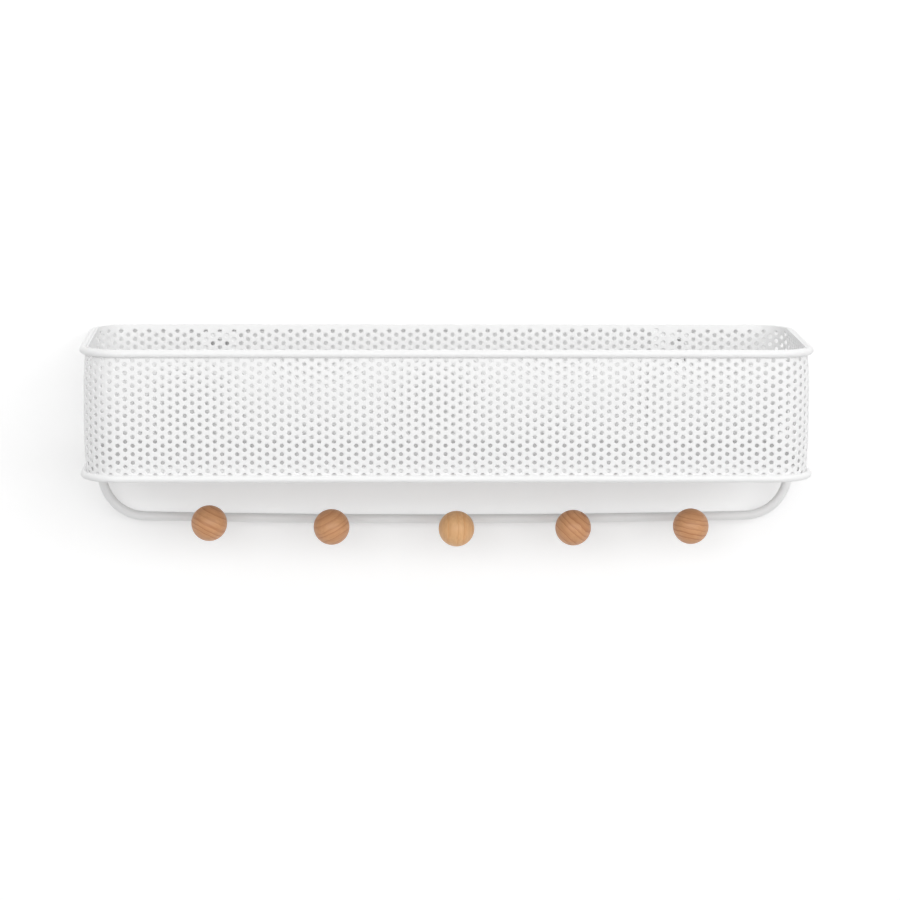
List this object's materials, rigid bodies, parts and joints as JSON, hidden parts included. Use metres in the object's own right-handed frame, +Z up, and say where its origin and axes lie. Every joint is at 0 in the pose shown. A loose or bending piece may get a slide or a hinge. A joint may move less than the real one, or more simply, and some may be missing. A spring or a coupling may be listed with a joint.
{
  "type": "wall basket with peg rail",
  "caption": "Wall-hung basket of perforated sheet steel with round-wire rims, and below it a bent-rod rail with turned wooden ball pegs.",
  "frame": {"origin": "on the wall plane, midway between the round entries of the two keyholes", "axes": "+X along the wall, to the right seen from the room; +Y into the wall; +Z up"},
  "size_m": [0.4109, 0.1288, 0.1248],
  "materials": {
    "white_powder_coat": "satin white powder coat",
    "turned_beech": "turned beech with a clear satin lacquer"
  },
  "bodies": {
    "root": {"basket_wall": "white_powder_coat", "floor_panel": "white_powder_coat", "top_rim": "white_powder_coat", "bottom_rim": "white_powder_coat", "keyhole_plate_left": "white_powder_coat", "keyhole_plate_right": "white_powder_coat", "peg_rail": "white_powder_coat", "peg_stud_1": "white_powder_coat", "peg_ball_1": "turned_beech", "peg_stud_2": "white_powder_coat", "peg_ball_2": "turned_beech", "peg_stud_3": "white_powder_coat", "peg_ball_3": "turned_beech", "peg_stud_4": "white_powder_coat", "peg_ball_4": "turned_beech", "peg_stud_5": "white_powder_coat", "peg_ball_5": "turned_beech"}
  },
  "joints": []
}
